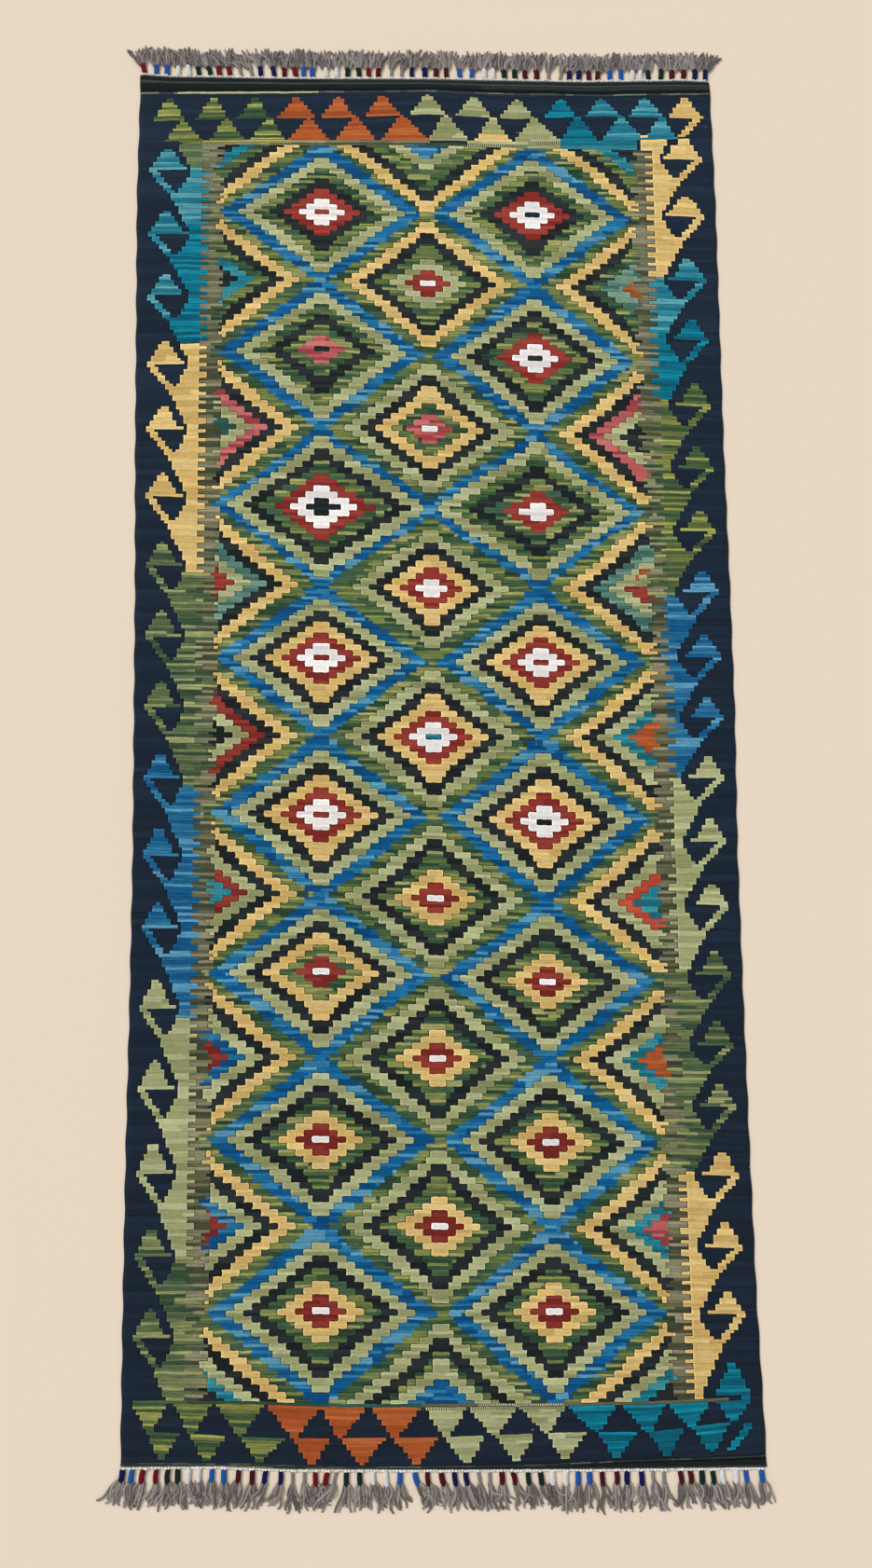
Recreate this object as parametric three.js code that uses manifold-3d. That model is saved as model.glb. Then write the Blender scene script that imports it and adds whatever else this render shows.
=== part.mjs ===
// Flat-woven Afghan kilim runner lying flat on the floor.
// Millimetres, +Z up. The length runs along Y, the far end is +Y and the underside lies on Z = 0.

import * as THREE from 'three';
import { mergeVertices } from 'three/addons/utils/BufferGeometryUtils.js';
import Module from 'manifold-3d';

const wasm = await Module();
wasm.setup();

// ---------------------------------------------------------------- cloth
const clothThickness = 3.0;
const outlineStep = 20;     // distance between outline points
const sideWave = 0.7;       // unevenness of the selvedges
const sideWavePeriod = 61;

// half-widths of the hand-woven cloth, it narrows a little towards the near end
const sideSections = [
  { y: 1010, left: 442, right: 441 },
  { y: 800, left: 443, right: 441 },
  { y: 600, left: 439.5, right: 438 },
  { y: 400, left: 436.5, right: 435 },
  { y: 200, left: 432, right: 434 },
  { y: 0, left: 429, right: 432 },
  { y: -200, left: 426, right: 426 },
  { y: -400, left: 425.5, right: 424 },
  { y: -600, left: 426, right: 422.5 },
  { y: -800, left: 425, right: 422 },
  { y: -1016, left: 423, right: 425 },
];

// the two woven ends are not quite straight or square
const farEdge = [
  { x: -450, y: 1010 },
  { x: -400, y: 1006 },
  { x: -200, y: 1004 },
  { x: 0, y: 1005 },
  { x: 240, y: 1001.5 },
  { x: 400, y: 1005 },
  { x: 450, y: 1003 },
];
const nearEdge = [
  { x: -430, y: -995 },
  { x: -300, y: -997 },
  { x: -200, y: -1003 },
  { x: 0, y: -1008 },
  { x: 200, y: -1012 },
  { x: 430, y: -1015 },
];

// ---------------------------------------------------------------- knot rows and fringes
const pieceGap = 0.3;       // between the cloth, a knot row and a fringe
const knotDepth = 3.0;      // along the length of the rug
const knotThickness = 4.0;
const knotBump = 0.7;       // how far each knot stands out of its row
const knotsPerTassel = 1;

const spineDepth = 2.2;     // the strip that joins the tassels of one fringe
const fringeThickness = 4.5;
const wrapWidth = 6.4;      // coloured thread wound around the head of a tassel
const wrapLength = 19;
const cutUneven = 4;        // how much the cut ends of one tassel differ

const fringes = [
  { name: 'far', edge: farEdge, side: 1, tassels: 53, first: -436, last: 434.5 },
  { name: 'near', edge: nearEdge, side: -1, tassels: 54, first: -419, last: 417.5 },
];

// how the tassels lie from the left corner to the right one, in degrees off straight out
const tasselLie = {
  far: [
    { at: 0.0, lean: -24, length: 46, fan: 15 },
    { at: 0.12, lean: -14, length: 46, fan: 14 },
    { at: 0.2, lean: -27, length: 43, fan: 12 },
    { at: 0.27, lean: -6, length: 48, fan: 16 },
    { at: 0.4, lean: -3, length: 44, fan: 14 },
    { at: 0.47, lean: 13, length: 47, fan: 13 },
    { at: 0.6, lean: 3, length: 47, fan: 15 },
    { at: 0.75, lean: 8, length: 47, fan: 14 },
    { at: 0.9, lean: 4, length: 50, fan: 16 },
    { at: 1.0, lean: 17, length: 55, fan: 16 },
  ],
  near: [
    { at: 0.0, lean: -32, length: 40, fan: 14 },
    { at: 0.08, lean: -12, length: 40, fan: 15 },
    { at: 0.15, lean: -1, length: 49, fan: 14 },
    { at: 0.24, lean: -19, length: 44, fan: 15 },
    { at: 0.33, lean: 2, length: 36, fan: 14 },
    { at: 0.47, lean: 22, length: 38, fan: 14 },
    { at: 0.6, lean: 17, length: 46, fan: 13 },
    { at: 0.72, lean: 2, length: 46, fan: 15 },
    { at: 0.88, lean: 15, length: 48, fan: 14 },
    { at: 1.0, lean: 12, length: 46, fan: 17 },
  ],
};

// ---------------------------------------------------------------- helpers
// straight-line value of one column of a table between its rows
function along(table, key, column, at) {
  const rows = [...table].sort((a, b) => a[key] - b[key]);
  const upper = rows.findIndex((row) => row[key] >= at);
  if (upper === 0) return rows[0][column];
  if (upper < 0) return rows[rows.length - 1][column];
  const low = rows[upper - 1];
  const high = rows[upper];
  const share = (at - low[key]) / (high[key] - low[key]);
  return low[column] + share * (high[column] - low[column]);
}

const farY = (x) => along(farEdge, 'x', 'y', x);
const nearY = (x) => along(nearEdge, 'x', 'y', x);

// the selvedge wanders a little either way
function sideX(side, y) {
  const column = side < 0 ? 'left' : 'right';
  const wave = Math.sin(y * 2 * Math.PI / sideWavePeriod + side);
  return side * (along(sideSections, 'y', column, y) + sideWave * wave);
}

function evenSteps(from, to, step) {
  const count = Math.max(1, Math.round(Math.abs(to - from) / step));
  return Array.from({ length: count + 1 }, (_, i) => from + (to - from) * i / count);
}

// whole outline steps between two places, with the places themselves
function wholeSteps(from, to) {
  const low = Math.min(from, to);
  const high = Math.max(from, to);
  const steps = [low];
  for (let at = Math.ceil(low / outlineStep) * outlineStep; at < high; at += outlineStep) {
    if (at > low + 1) steps.push(at);
  }
  steps.push(high);
  return from < to ? steps : steps.reverse();
}

// a flat outline as a plate from Z = 0 up to its thickness
function plate(outline, thickness) {
  const shape = new THREE.Shape(outline.map(([x, y]) => new THREE.Vector2(x, y)));
  return new THREE.ExtrudeGeometry(shape, { depth: thickness, bevelEnabled: false });
}

function toSolid(geometry) {
  const bare = geometry.clone();
  bare.deleteAttribute('normal');
  bare.deleteAttribute('uv');
  const merged = mergeVertices(bare, 1e-4);
  const vertProperties = new Float32Array(merged.getAttribute('position').array);
  const triVerts = new Uint32Array(merged.getIndex().array);
  return new wasm.Manifold(new wasm.Mesh({ numProp: 3, vertProperties, triVerts }));
}

// several plates joined into one closed body
function joined(plates) {
  const data = plates.map(toSolid).reduce((whole, next) => whole.add(next)).getMesh();
  const shared = new THREE.BufferGeometry();
  shared.setAttribute('position', new THREE.BufferAttribute(data.vertProperties, 3));
  shared.setIndex(new THREE.BufferAttribute(data.triVerts, 1));
  const geometry = shared.toNonIndexed();
  geometry.computeVertexNormals();
  return geometry;
}

function toMesh(name, geometry, colour, roughness) {
  const material = new THREE.MeshStandardMaterial({ color: colour, roughness, metalness: 0 });
  const mesh = new THREE.Mesh(geometry, material);
  mesh.name = name;
  return mesh;
}

// ---------------------------------------------------------------- pieces
function clothPlate() {
  const farLeft = sideX(-1, farY(-440));
  const farRight = sideX(1, farY(440));
  const nearLeft = sideX(-1, nearY(-420));
  const nearRight = sideX(1, nearY(420));
  const outline = [];
  for (const y of wholeSteps(nearY(nearRight), farY(farRight))) outline.push([sideX(1, y), y]);
  for (const x of wholeSteps(farRight, farLeft).slice(1, -1)) outline.push([x, farY(x)]);
  for (const y of wholeSteps(farY(farLeft), nearY(nearLeft))) outline.push([sideX(-1, y), y]);
  for (const x of wholeSteps(nearLeft, nearRight).slice(1, -1)) outline.push([x, nearY(x)]);
  return plate(outline, clothThickness);
}

// y of a line that follows a woven end at a distance outside it
function offsetY(fringe, x, distance) {
  return along(fringe.edge, 'x', 'y', x) + fringe.side * distance;
}

function strip(fringe, from, to, inner, outer, step, thickness) {
  const outline = [];
  for (const x of wholeSteps(from, to)) outline.push([x, offsetY(fringe, x, inner)]);
  const outside = evenSteps(to, from, step);
  outside.forEach((x, i) => outline.push([x, offsetY(fringe, x, outer + (i % 2 ? knotBump : 0))]));
  return plate(outline, thickness);
}

function knotRowPlate(fringe) {
  const from = sideX(-1, fringe.side * 1000) + 1;
  const to = sideX(1, fringe.side * 1000) - 1;
  const inner = pieceGap;
  const outer = pieceGap + knotDepth - knotBump;
  const step = (to - from) / (fringe.tassels * knotsPerTassel * 2);
  return strip(fringe, from, to, inner, outer, step, knotThickness);
}

// one tassel in its own frame: straight wrap, then strands that fan out and lean over
function tasselPlate(fringe, index) {
  const at = index / (fringe.tassels - 1);
  const x = fringe.first + at * (fringe.last - fringe.first);
  const table = tasselLie[fringe.name];
  const uneven = Math.sin(index * 2.4);
  const lean = THREE.MathUtils.degToRad(along(table, 'at', 'lean', at) + 5 * uneven);
  const length = along(table, 'at', 'length', at) + 2 * Math.sin(index * 1.7);
  const fan = along(table, 'at', 'fan', at) / 2;
  const half = wrapWidth / 2;
  const root = pieceGap * 2 + knotDepth;
  const shape = [
    { u: -half, v: spineDepth / 2 },
    { u: half, v: spineDepth / 2 },
    { u: half, v: wrapLength },
    { u: fan, v: wrapLength + 8 },
    { u: fan, v: length - cutUneven },
    { u: fan * 0.3, v: length },
    { u: -fan * 0.3, v: length - cutUneven * (0.5 + 0.4 * uneven) },
    { u: -fan, v: length - cutUneven * 1.2 },
    { u: -fan, v: wrapLength + 8 },
    { u: -half, v: wrapLength },
  ];
  const base = offsetY(fringe, x, root);
  const outline = shape.map(({ u, v }) => {
    const past = Math.max(0, v - wrapLength * 0.6);
    return [x + u + past * Math.tan(lean), base + fringe.side * v];
  });
  return plate(outline, fringeThickness);
}

function fringeComb(fringe) {
  const inner = pieceGap * 2 + knotDepth;
  const outer = inner + spineDepth;
  const spine = strip(fringe, fringe.first, fringe.last, inner, outer, outlineStep, fringeThickness);
  const tassels = [];
  for (let i = 0; i < fringe.tassels; i += 1) tassels.push(tasselPlate(fringe, i));
  return joined([spine, ...tassels]);
}

// ---------------------------------------------------------------- scene
const rug = new THREE.Group();
rug.name = 'kilim_runner';
rug.add(toMesh('kilim_cloth', clothPlate(), 0x2b3447, 0.95));
for (const fringe of fringes) {
  rug.add(toMesh(`${fringe.name}_knot_row`, knotRowPlate(fringe), 0xe4ddd4, 0.9));
  rug.add(toMesh(`${fringe.name}_fringe`, fringeComb(fringe), 0x88807b, 0.92));
}

// the origin is the middle of the whole rug, on the floor
const box = new THREE.Box3().setFromObject(rug);
const middle = box.getCenter(new THREE.Vector3());
for (const mesh of rug.children) mesh.geometry.translate(-middle.x, -middle.y, -box.min.z);

export default rug;
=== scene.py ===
import itertools
import math
import random

import bmesh
import bpy
from mathutils import Matrix, Vector, noise


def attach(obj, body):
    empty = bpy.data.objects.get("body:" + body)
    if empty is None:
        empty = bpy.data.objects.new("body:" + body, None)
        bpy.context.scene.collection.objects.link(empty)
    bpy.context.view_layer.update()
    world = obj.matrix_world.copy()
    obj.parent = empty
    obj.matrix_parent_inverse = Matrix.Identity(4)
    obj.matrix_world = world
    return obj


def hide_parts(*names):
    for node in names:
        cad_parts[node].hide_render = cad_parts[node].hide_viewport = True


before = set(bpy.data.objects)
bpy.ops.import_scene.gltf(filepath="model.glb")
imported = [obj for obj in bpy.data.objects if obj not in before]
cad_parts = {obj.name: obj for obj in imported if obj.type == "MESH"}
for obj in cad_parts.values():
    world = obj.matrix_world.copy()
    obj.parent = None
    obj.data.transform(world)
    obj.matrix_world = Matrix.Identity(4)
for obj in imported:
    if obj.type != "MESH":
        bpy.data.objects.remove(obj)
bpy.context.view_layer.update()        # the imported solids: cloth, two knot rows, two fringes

mm = 0.001
scene = bpy.context.scene
scene.view_settings.view_transform = "Standard"
print("frame loaded")

# dyed yarns, each with the shades that its skeins show, 0 to 255
yarns = {
    "N": [(25, 39, 56), (23, 36, 51), (29, 43, 60)],  # navy ground
    "W": [(236, 231, 228), (229, 223, 219)],  # white
    "R": [(152, 54, 46), (134, 40, 35), (162, 62, 52)],  # madder red
    "P": [(178, 88, 88), (152, 62, 64), (192, 108, 104)],  # rose
    "K": [(35, 43, 45), (26, 32, 35), (42, 49, 51)],  # charcoal
    "S": [(42, 68, 50), (52, 82, 54), (74, 98, 62), (92, 112, 66), (110, 124, 70), (128, 138, 76), (154, 156, 98),
          (62, 92, 70)],  # streaked greens of the field
    "s": [(52, 76, 52), (74, 96, 58), (104, 114, 62), (130, 136, 70), (156, 158, 84), (62, 90, 62)],  # of the ends
    "v": [(70, 90, 62), (94, 110, 74), (120, 130, 84), (54, 76, 56), (146, 152, 100), (86, 102, 68)],  # of the sides
    "L": [(156, 159, 112), (176, 179, 134), (140, 143, 98), (164, 167, 120)],  # light green
    "Y": [(220, 190, 124), (204, 170, 102), (212, 180, 112)],  # straw yellow
    "B": [(2, 72, 120), (4, 90, 146), (28, 110, 158), (88, 150, 178), (8, 84, 132), (44, 120, 164)],  # blue
    "b": [(14, 86, 132), (46, 116, 156), (86, 148, 182), (28, 100, 144)],  # blue of the bands
    "V": [(26, 124, 142), (22, 102, 118), (54, 140, 150)],  # bright teal
    "T": [(2, 110, 134), (2, 90, 110), (6, 130, 154)],  # deep teal
    "t": [(44, 128, 146), (84, 154, 166), (20, 112, 134)],  # washed teal
    "g": [(94, 112, 78), (114, 130, 90), (78, 98, 68), (130, 142, 102)],  # dull green
    "U": [(86, 128, 116), (64, 104, 94), (116, 150, 132)],  # muted green
    "O": [(170, 84, 40), (184, 98, 50), (158, 76, 35)],  # orange
    "F": [(190, 80, 58), (176, 66, 48)],  # orange red
    "G": [(36, 78, 70), (44, 90, 80)],  # bottle green
    "y": [(150, 148, 74), (162, 156, 86)],  # olive yellow
    "H": [(140, 136, 104), (124, 122, 92), (112, 112, 84)],  # khaki
    "D": [(72, 76, 54), (96, 98, 72), (116, 115, 87), (132, 128, 100), (146, 140, 112), (62, 68, 49)],  # of the strips
    "h": [(72, 78, 58), (96, 100, 76), (114, 115, 90), (136, 132, 106)],  # dusty khaki
    "d": [(74, 74, 54), (84, 84, 62), (98, 96, 70)],  # dark olive
    "E": [(28, 35, 37), (39, 46, 46), (22, 29, 31)],  # woven end band
    "e": [(11, 17, 21), (14, 20, 23)],  # its darkest picks
    "Q": [(56, 64, 62), (50, 58, 57)],  # its palest picks
    "J": [(156, 156, 106), (166, 163, 114)],  # pale pinstripe
    "j": [(76, 84, 78), (52, 60, 60), (98, 106, 94)],  # worn pinstripe
}
# shortest and longest run of a shade in half cells, how often its lower pick differs from the upper one, and how much
# the dye streaks along its picks
runs = {
    "S": (3, 8, 0.75, 1), "s": (9, 24, 0.9, 1), "v": (4, 14, 0.9, 1), "g": (5, 12, 0.8, 0.9), "B": (3, 7, 0.5, 0.7),
    "b": (9, 30, 0.7, 1), "L": (4, 10, 0.25, 0.3), "Y": (4, 10, 0.2, 0.3), "R": (4, 10, 0.3, 0.1),
    "P": (3, 6, 0.5, 0.1), "K": (6, 14, 0.15, 0.1), "O": (20, 40, 0.5, 0.4), "T": (9, 30, 0.6, 0.9),
    "V": (3, 7, 0.6, 0.6), "t": (9, 30, 0.7, 0.9), "U": (3, 7, 0.6, 0.6), "G": (4, 8, 0.5, 0.1),
    "H": (9, 9, 0.5, 0.8), "D": (9, 9, 0.9, 0.6), "h": (9, 9, 0.9, 0.8), "d": (9, 9, 0.5, 0.6),
    "N": (30, 60, 0, 0.1), "E": (30, 70, 0.2, 0.8), "e": (30, 70, 0.3, 0.1), "Q": (12, 40, 0.8, 0.8),
    "j": (2, 5, 0, 0.1), "J": (40, 80, 0, 0.1),
}
plainRun = (60, 90, 0, 0.1)
paintedShadeNearEnd = {"N": 0.88, "R": 0.86, "K": 0.9}    # painted shade: these yarns are painted deeper towards the near end


def linear(shade):
    # a 0 to 255 shade as a linear colour
    return tuple((s / 255 / 12.92) if s <= 10 else ((s / 255 + 0.055) / 1.055) ** 2.4 for s in shade)


def along(rows, at, column=1):
    # the value between two rows of a table, whose first column says where
    if at <= rows[0][0]:
        return rows[0][column]
    for low, high in zip(rows, rows[1:]):
        if at <= high[0]:
            share = (at - low[0]) / (high[0] - low[0])
            return low[column] + share * (high[column] - low[column])
    return rows[-1][column]


# the cloth's outline in mm, as its solid has it
outline = {
    "shift": (2.0, 1.1),         # the loom's own middle line lies this far from the rug's middle
    "wave": (0.7, 61),           # height and length of the selvedge's unevenness
    # place along the rug, then the left and right half widths
    "sides": [(-1016, 423, 425), (-800, 425, 422), (-600, 426, 422.5), (-400, 425.5, 424), (-200, 426, 426),
              (0, 429, 432), (200, 432, 434), (400, 436.5, 435), (600, 439.5, 438), (800, 443, 441), (1010, 442, 441)],
    "far": [(-450, 1010), (-400, 1006), (-200, 1004), (0, 1005), (240, 1001.5), (400, 1005), (450, 1003)],
    "near": [(-430, -995), (-300, -997), (-200, -1003), (0, -1008), (200, -1012), (430, -1015)],
}


def sideAt(side, y):
    height, length = outline["wave"]
    wave = height * math.sin(y * 2 * math.pi / length + side)
    return side * (along(outline["sides"], y, 1 if side < 0 else 2) + wave)


# the weaver's chart: half cells across, half rows from the far end to the near end
chart = {
    "columns": 154,
    "farRows": 32,        # the far end border
    "fieldRows": 416,     # the field of diamonds
    "nearRows": 26,       # the near end border
    "middle": 77,         # column of the rug's middle line
    "stripStart": 19,     # columns of the khaki strip between side border and field
    "stripEnd": 22,
    "blueKnot": 162,      # the blue outlines of this row's side diamonds run into each other
}
columns, fieldStart, fieldEnd = chart["columns"], chart["farRows"], chart["farRows"] + chart["fieldRows"]
lastRow = fieldEnd + chart["nearRows"]

# where chart rows lie, mm along the rug, at some places across: the weft isn't beaten down evenly
endPlaces = (-400, -265, -135, 0, 135, 270, 400)
farLines = [
    (7, 980, 981.5, 984, 986, 982, 980.5, 984), (8, 977, 978.5, 981.5, 983.5, 979.5, 978, 981.5),
    (10, 969, 971.5, 973.7, 978.5, 971, 973, 976), (20, 931.5, 937.6, 938, 945.6, 938.5, 943.4, 941),
    (30, 896.3, 900.5, 900.5, 900.5, 899.5, 902.5, 906), (32, 892, 892, 892.5, 892, 889.5, 887, 884),
]
nearLines = [
    (448, -914.5, -917.5, -924, -927, -929, -930, -927), (449, -918, -921, -928, -931, -933, -934, -931),
    (459, -952, -962, -967, -968, -966, -968, -956), (468, -986, -992, -1000, -1000, -998.5, -999.5, -991),
    (469, -990.5, -994.5, -1001.5, -1003.6, -1004.6, -1002.3, -1000.5),
    (470, -992, -996, -1003, -1005, -1006, -1003.8, -1002),
]
fieldPlaces = (-323, -163, -3, 155, 312)
fieldLines = [
    (32, 892, 892, 892, 889, 886.5), (58, 781, 781, 777, 777, 770), (84, 672, 669, 664, 660, 655),
    (110, 554, 559, 548, 544, 536), (136, 436, 435, 432.5, 425, 417), (162, 317, 311, 309, 302.5, 300),
    (188, 198, 192, 186, 185, 184), (214, 86, 85, 77, 75.6, 74), (240, -26, -29, -32.5, -34, -36),
    (266, -137, -142.5, -147, -157, -154.5), (292, -248, -255, -262, -268, -273), (318, -361, -360.6, -371, -380, -381),
    (344, -474, -477, -480.6, -485, -489), (370, -585, -585.6, -591, -595, -601.5), (396, -696, -699, -702, -708, -714),
    (422, -808, -807, -813.5, -814, -819.5), (448, -916.5, -922, -927, -929, -929),
]
beyond = 120    # mm, how far past the outermost places their slope goes on


def lineAt(lines, places, row, x):
    # where a chart row lies at x, from the two table lines around it
    low = next((line for line in reversed(lines) if line[0] <= row), lines[0])
    high = next((line for line in lines if line[0] >= row), lines[-1])
    share = 0 if high[0] == low[0] else (row - low[0]) / (high[0] - low[0])
    x = max(places[0] - beyond, min(places[-1] + beyond, x))
    i = sum(x > stop for stop in places[1:-1])
    across = (x - places[i]) / (places[i + 1] - places[i])
    ends = [line[i + 1] + across * (line[i + 2] - line[i + 1]) for line in (low, high)]
    return ends[0] + share * (ends[1] - ends[0])


def rowHeight(row, x):
    if fieldStart < row < fieldEnd:
        return lineAt(fieldLines, fieldPlaces, row, x)
    far = row <= fieldStart
    height = lineAt(farLines if far else nearLines, endPlaces, row, x)
    edgeRow, outermost = (0, farLines[0][0]) if far else (lastRow, nearLines[-1][0])
    share = min(1, (row - edgeRow) / (outermost - edgeRow))    # below 1 it lies between the edge and the first line
    edge = along(outline["far" if far else "near"], x)
    return edge + share * (height - edge) if share < 1 else height


def columnPlace(column, y):
    # the right half narrows towards the near end, the left half keeps its cells
    share = (y + 900) / 1800
    stops = [(0, sideAt(-1, y)), (21, -323), (49, -163), (77, -3), (105, 148 + 11 * share), (133, 305 + 12 * share),
             (columns, sideAt(1, y))]
    return along(stops, column)


def nearestColumn(x, y):
    return min(range(columns + 1), key=lambda c: abs(columnPlace(c, y) - x))


def place(column, row):
    # a chart corner on the floor, in mm of the loom's own frame
    x = columnPlace(column, 0)
    for _ in range(2):
        y = rowHeight(row, x)
        x = columnPlace(column, y)
    return x, rowHeight(row, x)


# diamonds, each as the yarns of its rings from the middle outwards
sideDiamonds = {  # row of the middle: left column, right column
    58: ("RWWRRKKSSLL", "NWWRRKKSSLL"), 110: ("KPPSSKKSSLL", "KWWRRSSKKLL"), 162: ("KKWWRRSSKKLL", "WWRRSSKKSSLL"),
    214: ("RWWRRYYKKLL", "RWWRRYYKKLL"), 266: ("RWWRRYYKKLL", "KWWRRYYKKLL"), 318: ("WRRSSYYKKLL", "WRRYYSSKKLL"),
    370: ("WRRYYSSKKLL", "WRRYYSSKKLL"), 422: ("WRRYYSSKKLL", "WRRYYSSKKLL"),
}
middleDiamonds = {  # row of the middle: left half, whole one in the middle, right half, | parts near half and far half
    32: ("KKKVVSSKKYYSS", "BBBLLSSSKKYYS", "KKKVVSSKKYYSS"), 84: ("KKKVVSSKKYYSS", "WRRLLSSKKYYSS", "OOUUUSSKKYYSS"),
    136: ("GGGLLPPKKYYSS", "WPPSSYYKKLLSS", "KKKLLPPKKYYSS"),
    188: ("RRRLLUUKKYYSS", "WWRRYYKKLLSSS", "RRRLLUUKKYYSS|LLLoLUUKKYYSS"),
    240: ("KKKLLRRKKYYSS", "VWWRRYYKKLLSS", "OOOVVLLKKYYSS"), 292: ("VVVRRLLKKYYSS", "WRRYYSSKKLLSS", "VVVFFLLKKYYSS"),
    344: ("RRRBBLLKKYYSS", "WRRYYSSKKLLSS", "OOOVVLLKKYYSS"), 396: ("RRRBBLLKKYYSS", "WRRYYSSKKLLSS", "PPPVVLLKKYYSS"),
    448: ("KKKVVLLKKYYSS", "BBBBLLSKKLLSS", "KKKVVLLKKYYSS"),
}
diamond = {
    "side": 14,          # cells from the middle of a side diamond to its outer corner
    "middle": 13,
    # how wide and how tall the rings are drawn, against whole cells and row pairs
    "shape": {"middle": (1, 0.951), "upper": (1, 1), "lower": (1, 0.951), "inner": (0.88, 1.06), "outer": (1, 1.06),
              "squat": (1, 1.04)},
    "tip": 0.25,         # the tips are blunt
    "blue": 13.7,        # where the blue outline of the side diamonds ends
    "tallBlue": 14.2,    # beside the blue knot
    "knotRows": 3.5,     # half the height of the knot itself
}


def fieldYarn(column, row):
    # whole rows and half cells, the lattice repeats every 28 cells and 26 rows
    across = (column + 0.5 - chart["middle"]) / 2
    rowPair = (row - fieldStart + 1) // 2
    byKnot = abs(row - chart["blueKnot"]) < 26
    if abs(across) < 1 and abs(row + 0.5 - chart["blueKnot"]) < diamond["knotRows"]:
        return "B"
    best = None
    for centres, table in (((-14, 14), sideDiamonds), ((-28, 0, 28), middleDiamonds)):
        own = diamond["side" if table is sideDiamonds else "middle"]
        for middleRow, rings in table.items():
            down = rowPair - (middleRow - fieldStart) // 2
            if abs(down) > 14:
                continue
            for centre, ring in zip(centres, rings):
                drawn = "upper"
                if middleRow == chart["blueKnot"]:
                    drawn = "inner" if (across - centre) * centre < 0 else "outer"
                wide, tall = diamond["shape"][drawn]
                distance = wide * abs(across - centre) + tall * abs(down)
                if distance < own - (centre == 0 and byKnot) and (best is None or distance < best[0]):
                    best = (distance, ring, centre, down, middleRow, drawn)
    if best is None:
        return "S"
    _, ring, centre, down, middleRow, drawn = best
    if abs(centre) != 14:
        drawn = "squat" if byKnot and centre == 0 else "middle"
    elif drawn == "upper" and down > 0:
        drawn = "lower"
    wide, tall = diamond["shape"][drawn]
    aside = abs(across - centre)
    ringAt = wide * (diamond["tip"] if aside < 1 else aside) + tall * abs(down)
    if abs(centre) != 14:
        yarn = ring.split("|")[-1 if down < 0 else 0][int(min(ringAt, 12))]
        return yarn if yarn != "o" else "O" if aside < 1.3 else "L"    # o is a single orange fleck
    if ringAt < len(ring):
        return ring[int(ringAt)]
    # the blue outline of the side diamonds has ragged edges, its picks lock into the greens beside them
    pick = random.Random(row * 613 + centre * 17 + (across > centre))
    outward = wide * aside + tall * abs((row + 0.5 - middleRow) / 2)
    limit = diamond["tallBlue" if tall > 1 else "blue"]
    return "B" if aside < 2 or outward < limit + pick.choice((-0.5, -0.5, -0.5, 0, 0)) else "S"


# side borders: navy ground, hooks on stems and the band that they grow from
leftHooks = [(848, "t"), (744, "t"), (643, "t"), (534, "Y"), (432, "Y"), (327, "Y"), (222, "v"), (119, "v"), (14, "v"),
             (-89, "b"), (-197, "b"), (-299, "b"), (-408, "L"), (-516, "L"), (-626, "L"), (-735, "v"), (-836, "v")]
rightHooks = [(873, "Y"), (775, "Y"), (669, "t"), (575, "T"), (468, "s"), (370, "s"), (271, "s"), (180, "b"),
              (83, "b"), (-9, "b"), (-93, "L"), (-186, "L"), (-277, "L"), (-375, "v"), (-469, "v"), (-551, "v"),
              (-644, "Y"), (-736, "Y"), (-823, "Y"), (-922, "N")]
# the band's yarns, each down to its place
leftBand = [(855, "g"), (760, "t"), (568, "T"), (215, "Y"), (-95, "v"), (-420, "b"), (-740, "L"), (-1200, "v")]
rightBand = [(675, "Y"), (590, "t"), (475, "T"), (175, "s"), (-95, "b"), (-365, "L"), (-640, "v"), (-1200, "Y")]
hook = {
    "height": 0.345,     # of the way to the next hook: the triangle, and the stem that hangs from it
    "stem": 0.34,
    "edge": 3,           # half cells from the selvedge to the hook's outer corner
    "width": {"left": [(-900, 8.8), (400, 9), (750, 9.8)], "right": [(-900, 8), (500, 8), (750, 9.6)]},
    "taper": 0.82,       # how much narrower the triangle's point is than its foot
    "foot": 0.12,        # the lowest part of the triangle reaches one half cell further
    "stemWidth": 2,
    "lean": 5,           # half cells that the stem runs inwards
    "neck": 8.2,         # where the stem meets the band
    "waist": 14.5,       # the band at its narrowest
    "notch": 11,         # the navy corner between stem and band
}


def bandYarn(band, y):
    return next(yarn for end, yarn in band if y > end)


def sideYarn(fromEdge, y, hooks, band):
    # fromEdge counts half cells from the selvedge to the middle of this one
    before = [h for h in hooks if h[0] > y]
    after = hooks[len(before):]
    period = (hooks[0][0] - hooks[-1][0]) / (len(hooks) - 1)
    nextBase, nextYarn = after[0] if after else (hooks[-1][0] - period, band[-1][1])
    lastBase, lastYarn = before[-1] if before else (nextBase + period, None)
    share = (lastBase - y) / (lastBase - nextBase)     # 0 at the base above, 1 at the base below
    up = (1 - share) / hook["height"]                  # 0 at the foot of the triangle, 1 at its point
    if after and up < 1:
        width = along(hook["width"]["left" if hooks is leftHooks else "right"], y)
        half = width / 2 * (1 - hook["taper"] * up)
        centre = hook["edge"] + width / 2
        if centre - half < fromEdge < centre + half + (up < hook["foot"]):
            return nextYarn
    if share < hook["stem"]:
        left = hook["edge"] + int(share / hook["stem"] * hook["lean"] + 0.3)
        if lastYarn and left < fromEdge < left + hook["stemWidth"]:
            return lastYarn
        edge = hook["waist"] - (hook["waist"] - hook["notch"]) * share / hook["stem"] if lastYarn else hook["waist"] - 2
    else:
        edge = hook["neck"] + (hook["waist"] - hook["neck"]) * (share - hook["stem"]) / (1 - hook["stem"])
    return bandYarn(band, y) if fromEdge > edge else "N"


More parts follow.
